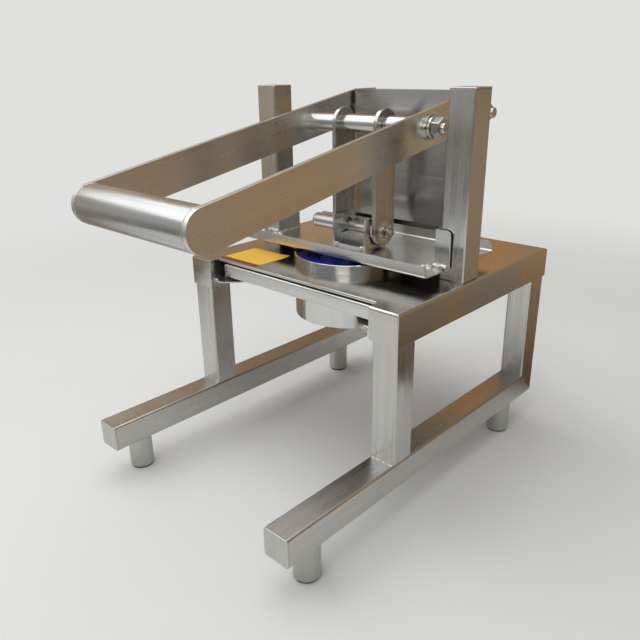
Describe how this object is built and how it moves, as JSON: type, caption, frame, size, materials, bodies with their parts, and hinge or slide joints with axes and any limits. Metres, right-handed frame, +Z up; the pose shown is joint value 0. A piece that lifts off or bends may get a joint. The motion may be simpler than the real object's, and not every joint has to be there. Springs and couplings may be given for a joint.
{
  "type": "onion slicer",
  "caption": "Bench-top stainless onion slicer: a two-armed lever and links push a pan with a blue pusher down two square posts, into a feed ring over a pull-out blade tray.",
  "frame": {"origin": "middle of the length and width, on the plane the feet stand on", "axes": "+X to the right as seen from the grip, +Y to the rear, away from the grip, +Z up"},
  "size_m": [0.309, 0.4774, 0.422],
  "materials": {
    "tube_steel": "brushed along the tube",
    "sheet_steel": "satin sheet",
    "bar_steel": "ground along the bar",
    "polished_steel": "polished stainless",
    "blade_steel": "ground blade",
    "blue_plastic": "smooth turned nylon",
    "yellow_film": "blank sticker film"
  },
  "bodies": {
    "frame": {"base_rail_left": "tube_steel", "base_rail_right": "tube_steel", "rail_end_caps": "tube_steel", "front_leg_left": "tube_steel", "front_leg_right": "tube_steel", "rear_leg_left": "tube_steel", "rear_leg_right": "tube_steel", "foot_front_left": "tube_steel", "foot_front_right": "tube_steel", "foot_rear_left": "tube_steel", "foot_rear_right": "tube_steel", "table_top": "sheet_steel", "blank_sticker": "yellow_film", "feed_ring": "polished_steel", "guide_post_left": "tube_steel", "guide_post_right": "tube_steel", "post_caps": "tube_steel", "tray_rail_left": "sheet_steel", "tray_rail_right": "sheet_steel", "hinge_column": "sheet_steel", "fulcrum_rod": "polished_steel", "fulcrum_washers": "polished_steel", "fulcrum_nuts": "polished_steel"},
    "blade_tray": {"tray_plate": "sheet_steel", "blade_frame": "sheet_steel", "slicing_blades": "blade_steel", "chute_tube": "sheet_steel"},
    "press_carriage": {"press_pan": "sheet_steel", "guide_shoe_left": "sheet_steel", "guide_shoe_right": "sheet_steel", "clevis_bracket": "sheet_steel", "pusher_block": "blue_plastic", "pusher_screws": "polished_steel"},
    "lever": {"lever_arm_left": "bar_steel", "lever_arm_right": "bar_steel", "handle_pipe": "polished_steel", "cross_rod": "polished_steel", "rod_spacer_left": "polished_steel", "rod_spacer_middle": "polished_steel", "rod_spacer_right": "polished_steel", "rod_washers": "polished_steel", "rod_spring_washers": "polished_steel", "rod_nuts": "polished_steel"},
    "links": {"link_left": "bar_steel", "link_right": "bar_steel", "link_pin": "polished_steel", "pin_knob": "polished_steel", "pin_washers": "polished_steel", "pin_nut": "polished_steel"}
  },
  "joints": [
    {"name": "lever_hinge", "type": "hinge", "parent": "frame", "child": "lever", "pos_m": [0, 0.1668, 0.392], "axis": [-1, 0, 0], "range_deg": [0, 55]},
    {"name": "link_swing", "type": "hinge", "parent": "lever", "child": "links", "pos_m": [0, 0.0713, 0.382], "axis": [-1, 0, 0], "range_deg": [-38.95, 0]},
    {"name": "pan_slide", "type": "slide", "parent": "frame", "child": "press_carriage", "axis": [0, 0, 1], "range_m": [0, 0.0872]},
    {"name": "tray_slide", "type": "slide", "parent": "frame", "child": "blade_tray", "axis": [0, -1, 0], "range_m": [0, 0.16]}
  ],
  "couplings": [
    {"joint": "link_swing", "follows": "lever_hinge", "ratio": -0.70776},
    {"joint": "pan_slide", "follows": "lever_hinge", "m_per_rad": 0.090722}
  ]
}
